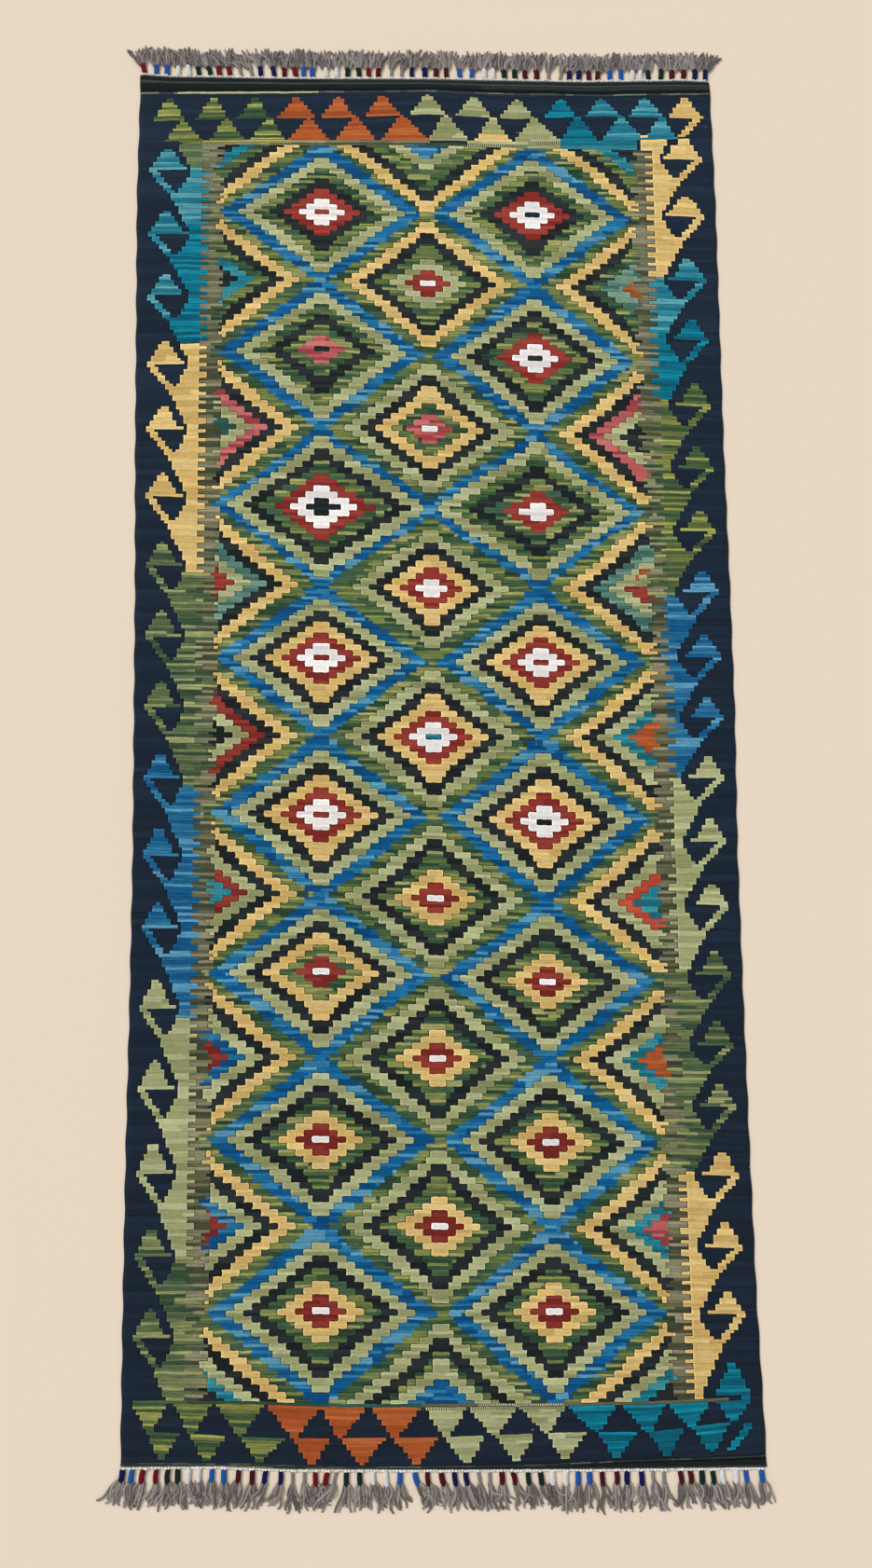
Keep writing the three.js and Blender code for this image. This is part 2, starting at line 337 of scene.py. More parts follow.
# end borders: rows of stepped triangles, the yarn of each, then the left and right end of its foot and the middle of
# its point, mm across the rug
farUpper = ("sssOOOLLLTttY", [
    (-422, -372, -397), (-357, -307, -330), (-292, -243, -265), (-229, -174, -202), (-163, -114, -137), (-95, -41, -70),
    (-27, 28, 1), (44, 97, 73), (112, 163, 139), (180, 229, 208), (246, 298, 270), (313, 366, 339), (376, 426, 400)])
farLower = ("sssOOOLLLTtt", [
    (-402, -345, -376), (-335, -282, -309), (-272, -219, -244), (-212, -152, -182), (-140, -83, -112), (-71, 0, -41),
    (2, 62, 29), (75, 128, 100), (134, 203, 165), (206, 262, 232), (272, 332, 301), (337, 385, 363)])
nearUpper = ("sssOOOLLLTTTT", [
    (-410, -364, -387), (-357, -306, -331), (-299, -239, -268), (-232, -165, -198), (-162, -105, -137), (-97, -33, -65),
    (-25, 29, 2), (33, 94, 66), (102, 159, 135), (164, 227, 201), (236, 292, 270), (297, 352, 328), (363, 407, 383)])
nearLower = ("sssOOOLLLTTT", [
    (-389, -348, -371), (-335, -286, -312), (-267, -211, -244), (-199, -150, -175), (-136, -80, -109), (-66, -9, -38),
    (2, 53, 28), (67, 118, 93), (136, 185, 158), (202, 252, 227), (270, 317, 293), (330, 377, 353)])
nearCorner = ("T", [(360, 408, 385)])
endTriangles = [  # triangles, first row, rows, whether the point is at the first row
    (farUpper, 10, 10, True), (farLower, 20, 10, True), (nearUpper, 449, 10, False), (nearLower, 459, 9, False),
    (nearCorner, 437, 10, True),
]
triangleShape = {"point": 9, "brim": 1.5}    # mm: width of the point, how far a green foot stands out at either side
allAcross = (0, columns)
plainPicks = [  # rows of the ends and of the lines beside the field: row, first and last column, yarn
    *((row, *allAcross, yarn) for row, yarn in enumerate("EEQEEeej")), (7, 10, 48, "J"),
    *((row, *allAcross, yarn) for row, yarn in zip(range(469, lastRow), "jeEEQ")), (472, 0, 62, "v"), (473, 0, 82, "v"),
    (30, 11, 17, "s"), (31, 12, 17, "s"), (30, 17, 41, "y"), (31, 17, 41, "H"), (30, 41, 78, "H"), (31, 41, 88, "d"),
    (30, 88, 113, "L"), (31, 88, 113, "L"), (30, 113, 134, "t"), (31, 113, 134, "t"),
    (448, 3, 40, "s"), (448, 40, 72, "G"), (448, 72, 146, "d"),
]
strip = {  # place along the rug, then half cells from the left and the right selvedge
    "bandEdge": [(-750, 17.2, 16.2), (0, 17.2, 15.4), (600, 17.2, 16.4)],
    "fieldEdge": [(-750, 22.5, 21.5), (-600, 22.5, 21), (-450, 22.5, 20), (400, 22.5, 20.5), (650, 22.5, 21.5)],
    "ragged": (-1, 0, 0, 0.5, 1, 1),    # how far one of its picks reaches into the field
    "dusty": (560, 450),                # down to here it is dusty khaki, at the left and at the right
    "merged": (0.35, 0.4),              # how often its picks take a neighbour's yarn, beside green bands and others
}


def drawStrip(rows, side):
    # its teeth grip the band on one side and the field on the other
    pick = random.Random(31 + side)
    band = rightBand if side else leftBand
    tooth, left, reach = True, 0, 2
    for row in range(fieldStart, fieldEnd):
        y = rowHeight(row + 0.5, 320 if side else -320)
        nextBand = bandYarn(band, y)
        if left == 0:
            tooth = not tooth
            left = pick.choice((1, 1, 2)) if tooth else 2
            reach = pick.choice((1.5, 2, 2))
        left -= 1
        merged = pick.random() < strip["merged"][nextBand not in "vsg"]
        bandEnd = along(strip["bandEdge"], y, 1 + side) + (reach if tooth else 0)
        fieldEdge = along(strip["fieldEdge"], y, 1 + side) + pick.choice(strip["ragged"])
        for k in range(12, chart["stripEnd"] + 4):
            column = columns - 1 - k if side else k
            if k + 0.5 < bandEnd:
                if k > 15 and (k >= chart["stripStart"] or rows[row][column] == "N"):
                    rows[row][column] = nextBand
            elif k + 0.5 < fieldEdge and not (merged and rows[row][column] in "SB" and k > chart["stripStart"]):
                blended = "v" if merged and nextBand in "vsg" else "D"
                rows[row][column] = "h" if y > strip["dusty"][side] else blended


def drawChart():
    rows = [["N"] * columns for _ in range(lastRow)]

    def fill(row, first, last, yarn):
        for column in range(max(0, first), min(columns, last)):
            rows[row][column] = yarn

    for row in range(fieldStart, fieldEnd):
        for column in range(chart["stripStart"], columns - chart["stripStart"]):
            rows[row][column] = fieldYarn(column, row)
    for row in range(28, fieldEnd):    # the right border starts a little above the field
        leftY, rightY = rowHeight(row + 0.5, -390), rowHeight(row + 0.5, 388)
        for k in range(chart["stripStart"]):
            if row >= fieldStart:
                rows[row][k] = sideYarn(k + 0.5, leftY, leftHooks, leftBand)
            rows[row][columns - 1 - k] = sideYarn(k + 0.5, rightY, rightHooks, rightBand)
    for side in (0, 1):
        drawStrip(rows, side)
    for row, first, last, yarn in plainPicks:
        fill(row, first, last, yarn)
    for (triangleYarns, triangles), first, count, pointFirst in endTriangles:
        for yarn, (footLeft, footRight, point) in zip(triangleYarns, triangles):
            for i in range(count):
                up = (count - 1 - i if pointFirst else i) / (count - 1)
                narrow = triangleShape["brim"] if yarn == "s" and up > 0 else 0
                left = footLeft + narrow + (point - triangleShape["point"] / 2 - footLeft - narrow) * up
                right = footRight - narrow + (point + triangleShape["point"] / 2 - footRight + narrow) * up
                y = rowHeight(first + i + 0.5, (left + right) / 2)
                start = nearestColumn(left, y)
                fill(first + i, start, max(start + 1, nearestColumn(right, y)), yarn)
    for row in (447, 448):     # the last hook's stem
        fill(row, nearestColumn(398, -925), nearestColumn(408, -925), "T")
    straw = nearestColumn(99, 905)
    for row, yarn in zip(range(26, 30), "yYYY"):    # the second light triangle has a straw coloured foot
        for column in range(straw - 5, straw + 5):
            if rows[row][column] == "L":
                rows[row][column] = yarn
    for first, count, yarn in ((20, 9, "Y"), (460, 8, "T")):    # loose hook stems in the right corners
        for i in range(count):
            k = 3 + int(i * 5 / count)
            fill(first + i, columns - k - 2, columns - k, yarn)
    return rows


def shadeChart(rows):
    # the shade of every half cell, run by run, as the weaver takes up one skein after another
    shades = []
    for r, row in enumerate(rows):
        out = []
        pair = (r - fieldStart + 1) // 2
        for stretch, (yarn, cells) in enumerate(itertools.groupby(row)):
            left = len(list(cells))
            shortest, longest, differs, _ = runs.get(yarn, plainRun)
            pick = random.Random(pair * 8191 + stretch * 131 + ord(yarn))
            while left > 0:
                length = pick.randint(shortest, longest)
                if left - length < shortest // 2:
                    length = left
                shade, other = pick.choice(yarns[yarn]), pick.choice(yarns[yarn])
                if pick.random() < differs and r % 2:
                    shade = other
                lift = 1 + pick.uniform(-0.05, 0.05)
                out += [tuple(s * lift for s in shade)] * min(left, length)
                left -= length
        shades.append(out)
    return shades


rows = drawChart()
shades = shadeChart(rows)
print("chart drawn:", len(rows), "half rows of", len(rows[0]), "half cells")


def newMaterial(name):
    material = bpy.data.materials.new(name)
    material.use_nodes = True
    material.node_tree.nodes.clear()
    return material, material.node_tree


def addNode(tree, kind, sockets=None, **settings):
    # sockets says what each input gets, a value or another node's socket
    node = tree.nodes.new(kind)
    for name, value in settings.items():
        setattr(node, name, value)
    for name, value in (sockets or {}).items():
        if isinstance(value, bpy.types.NodeSocket):
            tree.links.new(value, node.inputs[name])
        else:
            node.inputs[name].default_value = value
    return node


def sumsIn(tree):
    # plus, minus, times and most, each of two or more numbers or sockets, as nodes of this tree
    def chainOf(operation):
        def chain(first, *others):
            for other in others:
                first = addNode(tree, "ShaderNodeMath", {0: first, 1: other}, operation=operation).outputs[0]
            return first
        return chain
    return [chainOf(operation) for operation in ("ADD", "SUBTRACT", "MULTIPLY", "MAXIMUM")]


def curve(tree, operation, value):
    return addNode(tree, "ShaderNodeMath", {0: value}, operation=operation).outputs[0]


def ramp(tree, value, low, high, start=0.0, end=1.0):
    ends = {"Value": value, "From Min": low, "From Max": high, "To Min": start, "To Max": end}
    return addNode(tree, "ShaderNodeMapRange", ends, interpolation_type="SMOOTHSTEP").outputs["Result"]


def noiseOf(tree, vector, scale, detail=2.0, roughness=0.5, distortion=0.0):
    place = addNode(tree, "ShaderNodeMapping", {"Scale": scale, "Vector": vector}).outputs["Vector"]
    return addNode(tree, "ShaderNodeTexNoise", {"Vector": place, "Scale": 1.0, "Detail": detail, "Roughness": roughness,
                                                "Distortion": distortion}).outputs["Fac"]


def tinted(tree, colour, factor):
    return addNode(tree, "ShaderNodeVectorMath", {0: colour, "Scale": factor}, operation="SCALE").outputs[0]


def mixed(tree, factor, under, over):
    sockets = {"Factor": factor, "A": under, "B": over}
    return addNode(tree, "ShaderNodeMix", sockets, data_type="RGBA").outputs["Result"]


def attributeOf(tree, name):
    return addNode(tree, "ShaderNodeAttribute", attribute_name=name).outputs


def newGroup(name, inputs, outputs):
    # the default of an input tells its kind: None is a vector and a tuple is a colour
    group = bpy.data.node_groups.new(name, "ShaderNodeTree")
    for label, default in inputs.items():
        kind = "Vector" if default is None else "Color" if isinstance(default, tuple) else "Float"
        socket = group.interface.new_socket(label, in_out="INPUT", socket_type="NodeSocket" + kind)
        if default is not None:
            socket.default_value = default
    for label, kind in outputs.items():
        group.interface.new_socket(label, in_out="OUTPUT", socket_type="NodeSocket" + kind)
    return group, addNode(group, "NodeGroupInput").outputs, addNode(group, "NodeGroupOutput").inputs


grey = (0.5, 0.5, 0.5, 1)


def makeFibre():
    # short wool hairs and the lumps of hand-spun yarn, for every yarn on the rug
    group, given, made = newGroup("spunFibre", {"Place": None, "Yarn": grey, "Fuzz": 0.12, "Lumps": 0.1},
                                  {"Color": "Color", "Roughness": "Float", "Height": "Float"})
    plus, minus, times, _ = sumsIn(group)
    hairs = noiseOf(group, given["Place"], (900, 2400, 900), detail=3, roughness=0.7)
    lumps = noiseOf(group, given["Place"], (120, 210, 210), detail=3, roughness=0.6, distortion=1.2)
    uneven = plus(times(minus(hairs, 0.5), given["Fuzz"]), times(minus(lumps, 0.5), given["Lumps"]))
    group.links.new(tinted(group, given["Yarn"], plus(1.0, times(uneven, 2.0))), made["Color"])
    group.links.new(ramp(group, hairs, 0.2, 0.8, 0.82, 0.97), made["Roughness"])
    group.links.new(plus(times(hairs, 0.35), times(lumps, 0.65)), made["Height"])
    return group


def makeFlatWeave():
    # weft-faced slit weave: picks across, warps showing as faint ribs, blocks that stand up between their slits, with
    # painted shade at the slits and painted highlights along the blocks' edges
    group, given, made = newGroup(
        "flatWeave",
        {"Weave": None, "Place": None, "Dye": grey, "Streaky": 0.3, "Across": None, "Along": None, "Picks": 0.16,
         "SlitPaintedShade": 0.8, "RimPaintedHighlight": 0.45, "Steps": 0.05, "Abrash": 0.42, "Stitch": grey, "Stitched": 0.0, "Lint": 0.5,
         "Seams": 0.42},
        {"Color": "Color", "Height": "Float"})
    plus, minus, times, most = sumsIn(group)
    weave, across, lengthwise = [addNode(group, "ShaderNodeSeparateXYZ", {0: given[name]}).outputs
                                 for name in ("Weave", "Across", "Along")]
    inX, inY = curve(group, "FRACT", weave[0]), curve(group, "FRACT", weave[1])
    # the four sides of a block: painted shade where its neighbour is paler, a painted highlight along its edge where it
    # is darker; both masks also lower the bump height
    paintedShadeMask, paintedHighlightMask = [], []
    for value, first, second in ((inX, *across[:2]), (inY, *lengthwise[:2])):
        nearFirst, nearSecond = ramp(group, value, 0.04, 0.42, 1, 0), ramp(group, value, 0.58, 0.96, 0, 1)
        for flag, near in ((first, nearFirst), (second, nearSecond)):
            for sides, sign in ((paintedShadeMask, -1.0), (paintedHighlightMask, 1.0)):
                facing = addNode(group, "ShaderNodeMath", {0: flag, 1: sign}, operation="MULTIPLY", use_clamp=True)
                sides.append(times(near, facing.outputs[0]))
    paintedShadeMask, paintedHighlightMask = most(*paintedShadeMask), most(*paintedHighlightMask)
    # picks wander a little as they are beaten down
    wander = noiseOf(group, given["Weave"], (0.16, 0.5, 1))
    picks = curve(group, "SINE", times(plus(times(weave[1], 2.0), times(wander, 2.4)), 2 * math.pi))
    warps = curve(group, "SINE", times(weave[0], 4 * math.pi))
    # painted highlight and shade on the woven rows: the colour is lighter and darker by turns from one half row's edge
    # to the next
    steps = curve(group, "COSINE", times(weave[1], math.pi))
    broad = noiseOf(group, given["Weave"], (0.2, 1.6, 1), detail=3, roughness=0.65)
    fine = noiseOf(group, given["Weave"], (0.14, 3.6, 1), roughness=0.6)
    streak = plus(times(broad, 0.5), times(fine, 0.5))
    cloud = noiseOf(group, given["Place"], (5, 9, 5), detail=3)
    dyed = times(minus(streak, 0.5), given["Abrash"], plus(0.1, times(given["Streaky"], 6.0)))
    seam = most(ramp(group, inY, 0, 0.2, 1, 0), ramp(group, inY, 0.8, 1, 0, 1))
    # the dye's streaks and blotches, then painted light: lighter pick and warp ribs with painted shade in the grooves
    # between them, the painted step light and the painted edge highlight; streaky yarns are also darker along each half
    # row's edge
    shade = plus(minus(dyed, times(seam, given["Streaky"], given["Seams"])),
                 times(minus(cloud, 0.5), given["Abrash"], 0.4), times(picks, given["Picks"], 0.4),
                 times(warps, given["Picks"], 0.15), times(steps, given["Steps"]), times(paintedHighlightMask, given["RimPaintedHighlight"]), 1.0)
    # the painted shade at the slits is taken off the colour here
    shade = minus(shade, times(paintedShadeMask, given["SlitPaintedShade"]))
    # paler streaks of a dye are also warmer
    warm = addNode(group, "ShaderNodeCombineXYZ", {channel: plus(1.0, times(dyed, gain))
                                                   for channel, gain in (("X", 0.45), ("Y", 0.05), ("Z", -0.4))})
    sockets = {0: given["Dye"], 1: warm.outputs[0]}
    colour = addNode(group, "ShaderNodeVectorMath", sockets, operation="MULTIPLY").outputs[0]
    # stitches of another yarn over some of the picks, and a few specks of lint
    stitches = ramp(group, curve(group, "SINE", times(weave[0], 3.7 * math.pi)), -0.1, 0.3)
    colour = mixed(group, times(stitches, given["Stitched"]), colour, given["Stitch"])
    specks = addNode(group, "ShaderNodeTexVoronoi", {"Scale": 22, "Vector": given["Place"]}).outputs["Distance"]
    speck = times(ramp(group, specks, 0.012, 0.03, 1, 0), given["Lint"])
    colour = mixed(group, speck, colour, (*linear((196, 196, 188)), 1))
    group.links.new(tinted(group, colour, most(shade, 0.05)), made["Color"])
    height = plus(times(picks, given["Picks"]), times(warps, given["Picks"], 0.4), times(streak, 0.5))
    group.links.new(minus(height, times(paintedShadeMask, 0.9), times(paintedHighlightMask, 0.4)), made["Height"])
    return group


fibre = makeFibre()
flatWeave = makeFlatWeave()


def fibreOn(tree, place, yarn, fuzz, lumps):
    sockets = {"Place": place, "Yarn": yarn, "Fuzz": fuzz, "Lumps": lumps}
    return addNode(tree, "ShaderNodeGroup", sockets, node_tree=fibre).outputs


def finishMaterial(tree, hairs, height, distance, strength):
    bump = addNode(tree, "ShaderNodeBump", {"Distance": distance, "Strength": strength, "Height": height})
    shader = addNode(tree, "ShaderNodeBsdfPrincipled", {
        "Specular IOR Level": 0.12, "Sheen Weight": 0.03, "Sheen Roughness": 0.5, "Base Color": hairs["Color"],
        "Roughness": hairs["Roughness"], "Normal": bump.outputs["Normal"]})
    addNode(tree, "ShaderNodeOutputMaterial", {"Surface": shader.outputs[0]})


def woolMaterial():
    material, tree = newMaterial("wovenWool")
    plus, _, times, _ = sumsIn(tree)
    place = addNode(tree, "ShaderNodeTexCoord").outputs["Object"]
    dye, stitch = attributeOf(tree, "dye"), attributeOf(tree, "stitch")
    weave = addNode(tree, "ShaderNodeGroup", {
        "Weave": addNode(tree, "ShaderNodeUVMap", uv_map="weave").outputs[0], "Place": place, "Dye": dye["Color"],
        "Streaky": dye["Alpha"], "Stitch": stitch["Color"], "Stitched": stitch["Alpha"],
        "Across": attributeOf(tree, "paintedSlitLightAcross")["Vector"], "Along": attributeOf(tree, "paintedSlitLightAlong")["Vector"],
    }, node_tree=flatWeave).outputs
    hairs = fibreOn(tree, place, weave["Color"], 0.16, 0.3)
    finishMaterial(tree, hairs, plus(weave["Height"], times(hairs["Height"], 0.5)), 0.0006, 0.8)
    return material


def meshOf(bm, name):
    mesh = bpy.data.meshes.new(name)
    bm.to_mesh(mesh)
    bm.free()
    return mesh


def addObject(name, data, *materials):
    thing = bpy.data.objects.new(name, data)
    scene.collection.objects.link(thing)
    for material in materials:
        data.materials.append(material)
    return thing


def finishPiece(bm, name, materials, node):
    piece = addObject(name, meshOf(bm, name), *materials)
    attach(piece, "root")
    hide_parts(node)
    return piece


# the woven cloth, mm
cloth = {
    "thickness": 2.7,      # at the slits
    "puff": 0.35,          # how far a block stands up between its slits
    "edgeThickness": 2.0,  # the selvedge is beaten thinner
    "edgeRound": 0.5,
    "wander": 0.9,         # how far the rows bow
    "sideways": 0.6,       # how far the columns do
    "jitter": 0.4,         # unevenness of the steps
    "ripple": 0.12,        # of the upper face
    "bulge": 0.5,          # how far the end of a woven step is rounded
    "paintedNearShade": 0.06,          # painted shade: the near end is painted this much darker
    "flatSize": (0.863, 2.009),    # metres
    "flatArea": 1.7338,
}
seams = [  # first and last column and the row of a line of stitches, with their shade
    (72, 86, 448, (104, 96, 66)), (86, 107, 448, (202, 196, 160)), (107, 140, 448, (106, 106, 76)),
    (71, 107, 449, (74, 74, 56)), (74, 104, 31, (40, 62, 44)), (104, 113, 30, (38, 66, 46)),
]
# the sheet is first laid out flat over -1 to 1, its face at 0 and its underside here
underside = -0.5


def puffed(column, row):
    # how far a woven step bulges away from its diamond's middle, mm across and along
    across, down = (column - chart["middle"]) / 2, (row - fieldStart) / 2
    diamonds = [(centre, 13 + 26 * round((down - 13) / 26)) for centre in (-14, 14)]
    diamonds += [(centre, 26 * round(down / 26)) for centre in (-28, 0, 28)]
    centre, middleRow = min(diamonds, key=lambda d: abs(across - d[0]) + abs(down - d[1]))
    aside = max(-1.0, min(1.0, (across - centre) / 2))
    if (row - fieldStart) % 2 == 0:
        return cloth["bulge"] * aside, 0.0
    corner = 1 if (column - chart["middle"]) % 2 == 0 else -0.5
    return -0.7 * cloth["bulge"] * aside, 0.7 * cloth["bulge"] * corner * math.copysign(1, down - middleRow)


def chartPlace(co):
    return (co.x + 1) / 2 * columns, (1 - co.y) / 2 * lastRow


def yarnAt(column, row):
    return rows[row][column] if 0 <= column < columns and 0 <= row < lastRow else None


def meeting(column, row, nextColumn, nextRow):
    # how a block meets its neighbour: above 0 it is the lighter one and gets a painted highlight along its edge, below
    # 0 it gets painted shade
    own, other = yarnAt(column, row), yarnAt(nextColumn, nextRow)
    if own == other or other is None:
        return 0.0
    lighter = (yarns[own][0][1] - yarns[other][0][1]) / 140
    return math.copysign(min(1.0, 0.3 + abs(lighter)), lighter)


def bakePlace(column, row, level, middle):
    # the far and near half of the face side by side, then the edge as one long strip, then the underside
    if middle.z > -0.01:
        near, half = middle.y < 0, lastRow / 2
        u, v = 0.002 + 0.416 * column / columns + (0.42 if near else 0), 1 - (row - (half if near else 0)) / half
    elif middle.z < -0.49:
        u, v = 0.852 + 0.146 * column / columns, 1 - row / lastRow
    else:
        if abs(middle.x) > 0.9999:
            v = row if middle.x < 0 else columns + lastRow + (lastRow - row)
        else:
            v = lastRow + column if middle.y < 0 else 2 * lastRow + columns + (columns - column)
        u, v = 0.846 + 0.008 * level, v / (2 * (columns + lastRow))
    return u, 0.002 + 0.996 * v


def layOut(bm):
    # the face at full fineness, the underside at half of it, and an edge of two faces' height that joins them
    bmesh.ops.create_grid(bm, x_segments=columns, y_segments=lastRow, size=1.0)
    upperEdges = [e for e in bm.edges if len(e.link_faces) == 1]
    lower = set(bmesh.ops.create_grid(bm, x_segments=columns // 2, y_segments=lastRow // 2, size=1.0,
                                      matrix=Matrix.Translation((0, 0, underside)))["verts"])
    bmesh.ops.reverse_faces(bm, faces=[f for f in bm.faces if f.verts[0] in lower])
    lowerEdges = [e for e in bm.edges if len(e.link_faces) == 1 and e.verts[0] in lower]
    bmesh.ops.subdivide_edges(bm, edges=lowerEdges, cuts=1)
    lowerEdges = [e for e in bm.edges if len(e.link_faces) == 1 and e.verts[0].co.z < -0.2]
    walls = bmesh.ops.bridge_loops(bm, edges=upperEdges + lowerEdges)["faces"]
    upright = {e for f in walls for e in f.edges if abs(e.verts[0].co.z - e.verts[1].co.z) > 0.2}
    bmesh.ops.subdivide_edges(bm, edges=list(upright), cuts=1)


def dyeFaces(bm):
    dye, stitch = [bm.faces.layers.float_color.new(name) for name in ("dye", "stitch")]
    paintedSlitLightAcross, paintedSlitLightAlong = [bm.faces.layers.float_vector.new(name) for name in ("paintedSlitLightAcross", "paintedSlitLightAlong")]
    weaveMap, bakeMap = [bm.loops.layers.uv.new(name) for name in ("weave", "OFBake")]
    for face in bm.faces:
        middle = face.calc_center_median()
        column, row = chartPlace(middle)
        top, bottom = middle.z > -0.01, middle.z < -0.49
        c, r = min(columns - 1, int(column)), min(lastRow - 1, int(row))
        shade = shades[r][c] if top or bottom or 1 < r < lastRow - 2 else yarns["E"][0]
        # painted shade: the far end is painted a little lighter and the near end darker, more so in some dark yarns
        tint = 1.03 - cloth["paintedNearShade"] * r / lastRow
        tint *= 1 - (1 - paintedShadeNearEnd.get(rows[r][c], 1)) * r / lastRow
        face[dye] = (*linear(tuple(min(255, s * tint) for s in shade)), runs.get(rows[r][c], plainRun)[3])
        face[stitch] = (0, 0, 0, 0)
        for first, last, stitchRow, shade in seams:
            if top and r == stitchRow and first <= c < last:
                face[stitch] = (*linear(shade), 1)
        face.smooth = True
        if top:
            # flags for the painted shade and painted highlight at each side of the block
            face[paintedSlitLightAcross] = (meeting(c, r, c - 1, r), meeting(c, r, c + 1, r), 0)
            face[paintedSlitLightAlong] = (meeting(c, r, c, r + 1), meeting(c, r, c, r - 1), 0)
        for loop in face.loops:
            column, row = chartPlace(loop.vert.co)
            loop[weaveMap].uv = (column, lastRow - row)
            loop[bakeMap].uv = bakePlace(column, row, loop.vert.co.z, middle)


def shapeCloth(bm):
    def uneven(x, y, z):
        return noise.noise(Vector((x, y, z)))

    shiftX, shiftY = outline["shift"]
    for vert in bm.verts:
        column, row = chartPlace(vert.co)
        level = vert.co.z
        x, y = place(column, row)
        inside = min(column, columns - column, row, lastRow - row)
        keep = min(1.0, inside / 3)    # the outline stays as it is
        bow = uneven(x * 0.011, y * 0.02, 1.7) + 0.5 * uneven(x * 0.05, y * 0.03, 7.1)
        pull = uneven(x * 0.02, y * 0.06, 4.4)
        y += keep * (cloth["wander"] * bow + cloth["jitter"] * uneven(column * 7.3, row * 3.1, 0.5))
        x += keep * (cloth["sideways"] * pull + cloth["jitter"] * 1.8 * uneven(column * 5.1, row * 9.7, 3.5))
        if level > -0.01:
            c, r = round(column), round(row)
            if fieldStart < r < fieldEnd and chart["stripEnd"] < c < columns - chart["stripEnd"]:
                aside, lengthwise = puffed(c, r)
                x, y = x + aside, y + lengthwise
            around = {yarnAt(int(column) - a, int(row) - b) for a in (0, 1) for b in (0, 1)}
            z = cloth["thickness"] + (0 if len(around) > 1 else cloth["puff"])
            z += cloth["ripple"] * uneven(x * 0.06, y * 0.09, 2.2)
            if inside < 0.5:
                z = cloth["edgeThickness"]
        elif level > -0.4:
            z = cloth["edgeThickness"] * 0.55
            x += cloth["edgeRound"] * (1 if column > columns - 0.5 else -1 if column < 0.5 else 0)
            y += cloth["edgeRound"] * (-1 if row > lastRow - 0.5 else 1 if row < 0.5 else 0) * 0.3
        else:
            z = 0.0
        vert.co = Vector((x + shiftX, y + shiftY, z)) * mm


def weaveCloth():
    bm = bmesh.new()
    layOut(bm)
    dyeFaces(bm)
    shapeCloth(bm)
    return finishPiece(bm, "kilimWeave", [woolMaterial()], "kilim_cloth")


weave = weaveCloth()
print("cloth woven:", len(weave.data.polygons), "faces")

# white knots along both ends, mm
knots = {
    "pitch": 4.2,
    "size": (2.35, 1.75, 1.9),    # half sizes
    "cordRadius": 1.1,
    "offset": 1.8,                # from the cloth's edge to the middle of the knots
    "ends": {"far": (-438, 437), "near": (-419, 421)},    # first and last, across the rug
    "cordShade": (214, 208, 198),
}


def cottonMaterial():
    material, tree = newMaterial("knotCotton")
    place = addNode(tree, "ShaderNodeTexCoord").outputs["Object"]
    shade = addNode(tree, "ShaderNodeValToRGB", {"Fac": noiseOf(tree, place, (260, 260, 260), detail=3)})
    for stop, at, colour in zip(shade.color_ramp.elements, (0.32, 0.6), ((196, 190, 180), (238, 235, 229))):
        stop.position, stop.color = at, (*linear(colour), 1)
    hairs = fibreOn(tree, place, shade.outputs["Color"], 0.08, 0.08)
    finishMaterial(tree, hairs, hairs["Height"], 0.0008, 0.7)
    return material


def edgePoint(end, x, away):
    # a point beyond the woven end, mm, with the rug's middle as its origin
    side = 1 if end == "far" else -1
    return Vector((x + outline["shift"][0], along(outline[end], x) + outline["shift"][1] + side * away, 0))


def tubeTemplate(sides, steps):
    # a unit tube along Y with closed ends, to be bent along a path
    bm = bmesh.new()
    bmesh.ops.create_circle(bm, cap_ends=False, radius=1.0, segments=sides, matrix=Matrix.Rotation(math.pi / 2, 4, "X"))
    edges = first = bm.edges[:]
    for _ in range(steps):
        made = bmesh.ops.extrude_edge_only(bm, edges=edges)["geom"]
        newVerts = {g for g in made if isinstance(g, bmesh.types.BMVert)}
        bmesh.ops.translate(bm, verts=list(newVerts), vec=(0, 1 / steps, 0))
        edges = [g for g in made if isinstance(g, bmesh.types.BMEdge) and newVerts.issuperset(g.verts)]
    bmesh.ops.contextual_create(bm, geom=first)
    bmesh.ops.contextual_create(bm, geom=edges)
    bmesh.ops.recalc_face_normals(bm, faces=bm.faces)
    uvLayer = bm.loops.layers.uv.new("thread")
    bm.faces.layers.float_color.new("dye")
    for face in bm.faces:
        face.smooth = True
        angles = [math.atan2(loop.vert.co.z, loop.vert.co.x) / (2 * math.pi) % 1 for loop in face.loops]
        if max(angles) - min(angles) > 0.5:
            angles = [a + 1 if a < 0.5 else a for a in angles]
        for loop, angle in zip(face.loops, angles):
            loop[uvLayer].uv = (angle, loop.vert.co.y)
    return meshOf(bm, "tubeTemplate")


def addTube(bm, template, path, width, depth, shade, materialIndex=0, lengthScale=1.0):
    # a copy of the template bent along the path, path(t), width(t) and depth(t) in mm for t from 0 to 1
    firstVert, firstFace = len(bm.verts), len(bm.faces)
    bm.from_mesh(template)
    bm.verts.ensure_lookup_table()
    bm.faces.ensure_lookup_table()
    uvLayer = bm.loops.layers.uv["thread"]
    dye = bm.faces.layers.float_color["dye"]
    frames = {}
    for vert in bm.verts[firstVert:]:
        t = round(vert.co.y, 4)
        if t not in frames:
            ahead = (path(min(1, t + 0.02)) - path(max(0, t - 0.02))).normalized()
            side = ahead.cross(Vector((0, 0, 1))).normalized()
            frames[t] = (path(t), side * width(t), side.cross(ahead) * depth(t))
        here, side, up = frames[t]
        vert.co = (here + side * vert.co.x + up * vert.co.z) * mm
    colour = (*linear(shade), 1)
    for face in bm.faces[firstFace:]:
        face[dye] = colour
        face.material_index = materialIndex
        for loop in face.loops:
            loop[uvLayer].uv.y *= lengthScale


def readTassels(table):
    # from left to right: place across in mm, thread of the wrap, lean of the strands off straight out in degrees
    return [(float(at), thread, float(lean)) for at, thread, lean in (entry.split() for entry in table.split(","))]


